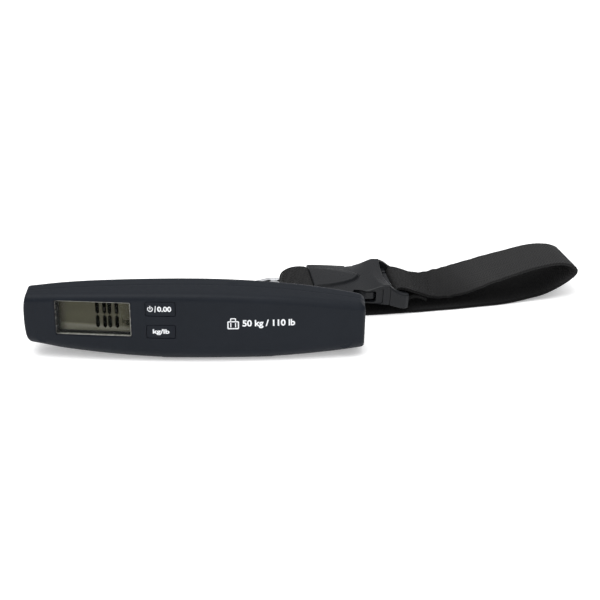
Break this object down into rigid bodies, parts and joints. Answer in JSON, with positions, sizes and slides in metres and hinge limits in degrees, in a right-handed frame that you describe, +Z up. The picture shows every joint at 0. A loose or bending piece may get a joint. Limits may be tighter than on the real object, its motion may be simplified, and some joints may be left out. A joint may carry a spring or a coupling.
{
  "type": "digital luggage scale",
  "caption": "Hand-held digital luggage scale: a bowed handle case with display and keys, and a webbing strap with a side-release buckle behind it.",
  "frame": {"origin": "on the flat of the lower flank that the case stands on, under the middle of the case's length", "axes": "+X along the case and the strap, with the display at the -X end; the display faces -Y and the strap lies on the +Y side; +Z up"},
  "size_m": [0.264, 0.0935, 0.0338],
  "materials": {
    "case_plastic": "fine satin texture, charcoal",
    "key_plastic": "fine satin texture, charcoal",
    "clear_window": "clear acrylic",
    "bezel_black": "matt black",
    "lcd_glass": "olive-grey reflective LCD",
    "elastomer": "matt",
    "circuit_board": "green solder mask",
    "chip_black": "matt",
    "switch_body": "matt",
    "cell_steel": "bright",
    "contact_steel": "bright",
    "load_cell_alloy": "machined",
    "gauge_foil": "amber film",
    "screw_steel": "zinc plated",
    "hardware_steel": "nickel plated",
    "webbing": "woven polyester, charcoal",
    "buckle_acetal": "fine satin, dark grey"
  },
  "bodies": {
    "case": {"front_shell": "case_plastic", "rear_shell": "case_plastic", "display_lens": "clear_window", "display_bezel": "bezel_black", "lcd_panel": "lcd_glass", "elastomer_strip": "elastomer", "main_pcb": "circuit_board", "controller_chip": "chip_black", "zero_switch": "switch_body", "unit_switch": "switch_body", "coin_cell": "cell_steel", "battery_contact_minus": "contact_steel", "battery_contact_plus": "contact_steel", "load_cell_bar": "load_cell_alloy", "strain_gauge_front": "gauge_foil", "strain_gauge_rear": "gauge_foil", "load_cell_screw_1": "screw_steel", "load_cell_screw_2": "screw_steel", "load_lug": "hardware_steel", "lug_screw": "screw_steel", "link_pin": "hardware_steel", "case_screw_1": "screw_steel", "case_screw_2": "screw_steel", "case_screw_3": "screw_steel", "case_screw_4": "screw_steel"},
    "zero_key": {"zero_button": "key_plastic"},
    "unit_key": {"unit_button": "key_plastic"},
    "door": {"battery_door": "case_plastic"},
    "link": {"swing_link": "hardware_steel"},
    "ring": {"d_ring": "hardware_steel"},
    "strap": {"strap_lower": "webbing", "strap_upper": "webbing", "buckle_socket": "buckle_acetal"},
    "plug": {"buckle_plug": "buckle_acetal"},
    "arm_far": {"buckle_arm_far": "buckle_acetal"},
    "arm_near": {"buckle_arm_near": "buckle_acetal"}
  },
  "joints": [
    {"name": "zero_press", "type": "slide", "parent": "case", "child": "zero_key", "axis": [0, 1, 0], "range_m": [0, 0.0005], "stiffness_N_per_m": 800},
    {"name": "unit_press", "type": "slide", "parent": "case", "child": "unit_key", "axis": [0, 1, 0], "range_m": [0, 0.0005], "stiffness_N_per_m": 800},
    {"name": "battery_door_open", "type": "hinge", "parent": "case", "child": "door", "pos_m": [-0.061, 0.0108, 0.0179], "axis": [0, 0, 1], "range_deg": [0, 80]},
    {"name": "link_swing", "type": "hinge", "parent": "case", "child": "link", "pos_m": [0, 0.0205, 0.0115], "axis": [0, 0, 1], "range_deg": [-6, 95]},
    {"name": "ring_swing", "type": "hinge", "parent": "link", "child": "ring", "pos_m": [0.0226, 0.0375, 0.0115], "axis": [0, 0, 1], "range_deg": [-6, 18]},
    {"name": "strap_lift", "type": "hinge", "parent": "ring", "child": "strap", "pos_m": [0.04302, 0.04587, 0.0082], "axis": [0.1392, -0.9903, 0], "range_deg": [0, 80]},
    {"name": "buckle_release", "type": "slide", "parent": "strap", "child": "plug", "axis": [0.9889, 0.139, -0.0523], "range_m": [0, 0.024], "deforming": ["buckle_arm_far", "buckle_arm_near", "strap_upper"]},
    {"name": "arm_far_squeeze", "type": "hinge", "parent": "plug", "child": "arm_far", "pos_m": [0.08999, 0.06216, 0.00999], "axis": [0.0518, 0.0073, 0.9986], "range_deg": [0, 12.5], "stiffness_Nm_per_rad": 0.05},
    {"name": "arm_near_squeeze", "type": "hinge", "parent": "plug", "child": "arm_near", "pos_m": [0.09266, 0.04315, 0.00999], "axis": [0.0518, 0.0073, 0.9986], "range_deg": [-12.5, 0], "stiffness_Nm_per_rad": 0.05}
  ],
  "couplings": [
    {"joint": "arm_near_squeeze", "follows": "arm_far_squeeze", "ratio": -1}
  ]
}
